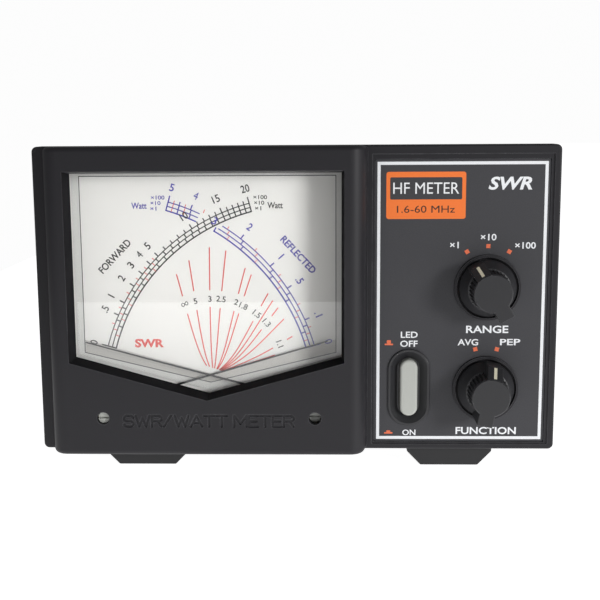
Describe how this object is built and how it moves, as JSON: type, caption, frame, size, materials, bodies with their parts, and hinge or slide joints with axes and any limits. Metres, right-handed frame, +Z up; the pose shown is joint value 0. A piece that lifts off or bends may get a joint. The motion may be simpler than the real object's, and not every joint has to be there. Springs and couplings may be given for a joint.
{
  "type": "cross-needle SWR meter",
  "caption": "Desktop cross-needle SWR and power meter with a V-edged dial window, range and function knobs, a lamp button and rear coaxial sockets.",
  "frame": {"origin": "centre of the whole object's footprint box, on the surface its feet stand on", "axes": "+X to the right seen from the front, +Y from the front panel to the back, +Z up"},
  "size_m": [0.19, 0.1288, 0.1209],
  "materials": {
    "bezel_plastic": "fine satin texture, charcoal",
    "panel_paint": "fine-grained matt dark grey with printed legends",
    "black_plastic": "satin",
    "zinc_steel": "bright zinc plate",
    "clear_acrylic": "clear, polished",
    "dial_print": "matt cream enamel with printed scales",
    "housing_plastic": "satin",
    "circuit_board": "solder-masked",
    "lamp_lens": "clear",
    "nickel": "nickel plate",
    "grey_plastic": "satin grey",
    "knob_plastic": "satin black",
    "ivory_plastic": "ivory",
    "case_paint": "fine-textured black powder coat",
    "black_screw": "black oxide",
    "foot_plastic": "satin black",
    "brass": "plain",
    "component_plastic": "moulded",
    "trimmer_plastic": "moulded",
    "ferrite": "dull grey",
    "white_insulator": "waxy white",
    "gilt_brass": "gilt",
    "soft_iron": "machined",
    "needle_paint": "black",
    "copper_winding": "enamelled copper"
  },
  "bodies": {
    "chassis": {"antenna_socket": "nickel", "bezel_screws": "zinc_steel", "board_parts": "component_plastic", "board_standoffs": "brass", "chassis_pan": "case_paint", "control_plate": "panel_paint", "coupler_board": "circuit_board", "coupler_box": "zinc_steel", "coupler_lid": "zinc_steel", "coupler_line": "brass", "cover_screws": "black_screw", "dc_jack": "black_plastic", "dc_jack_pin": "nickel", "dial_lamps": "lamp_lens", "dial_plate": "dial_print", "feet": "foot_plastic", "foot_screws": "zinc_steel", "forward_bridge": "brass", "forward_hairspring": "gilt_brass", "forward_magnet_yoke": "soft_iron", "front_bezel": "bezel_plastic", "front_subpanel": "zinc_steel", "function_switch": "black_plastic", "lamp_board": "circuit_board", "lamp_switch": "black_plastic", "lamp_switch_surround": "black_plastic", "main_board": "circuit_board", "meter_housing": "housing_plastic", "meter_screws": "zinc_steel", "meter_window": "clear_acrylic", "movement_plate": "zinc_steel", "range_switch": "black_plastic", "rear_panel": "case_paint", "reflected_bridge": "brass", "reflected_hairspring": "gilt_brass", "reflected_magnet_yoke": "soft_iron", "socket_contacts": "gilt_brass", "socket_insulators": "white_insulator", "socket_screws": "nickel", "switch_nuts": "nickel", "top_cover": "case_paint", "toroid": "ferrite", "transmitter_socket": "nickel", "trimmers": "trimmer_plastic"},
    "range_knob": {"range_knob": "knob_plastic", "range_knob_line": "ivory_plastic", "range_shaft": "zinc_steel"},
    "function_knob": {"function_knob": "knob_plastic", "function_knob_line": "ivory_plastic", "function_shaft": "zinc_steel"},
    "lamp_button": {"lamp_button": "grey_plastic", "lamp_plunger": "grey_plastic"},
    "forward_needle": {"forward_needle": "needle_paint", "forward_coil": "copper_winding", "forward_staff": "zinc_steel"},
    "reflected_needle": {"reflected_needle": "needle_paint", "reflected_coil": "copper_winding", "reflected_staff": "zinc_steel"},
    "forward_zero_screw": {"forward_zero_screw": "grey_plastic"},
    "reflected_zero_screw": {"reflected_zero_screw": "grey_plastic"}
  },
  "joints": [
    {"name": "range_select", "type": "hinge", "parent": "chassis", "child": "range_knob", "pos_m": [0.0696, -0.0566, 0.0693], "axis": [0, 1, 0], "range_deg": [0, 60]},
    {"name": "function_select", "type": "hinge", "parent": "chassis", "child": "function_knob", "pos_m": [0.0696, -0.0566, 0.0318], "axis": [0, 1, 0], "range_deg": [-27, 3]},
    {"name": "lamp_button_push", "type": "slide", "parent": "chassis", "child": "lamp_button", "axis": [0, 1, 0], "range_m": [0, 0.0025], "stiffness_N_per_m": 300},
    {"name": "forward_swing", "type": "hinge", "parent": "chassis", "child": "forward_needle", "pos_m": [0.0023, -0.0471, 0.0271], "axis": [0, 1, 0], "range_deg": [-2, 60], "stiffness_Nm_per_rad": 0.0006},
    {"name": "reflected_swing", "type": "hinge", "parent": "chassis", "child": "reflected_needle", "pos_m": [-0.0686, -0.0461, 0.0255], "axis": [0, -1, 0], "range_deg": [-2, 60], "stiffness_Nm_per_rad": 0.0006},
    {"name": "forward_zero_adjust", "type": "hinge", "parent": "chassis", "child": "forward_zero_screw", "pos_m": [0.0069, -0.0536, 0.0227], "axis": [0, 1, 0], "range_deg": [-20, 20]},
    {"name": "reflected_zero_adjust", "type": "hinge", "parent": "chassis", "child": "reflected_zero_screw", "pos_m": [-0.0704, -0.0536, 0.0227], "axis": [0, 1, 0], "range_deg": [-20, 20]}
  ]
}
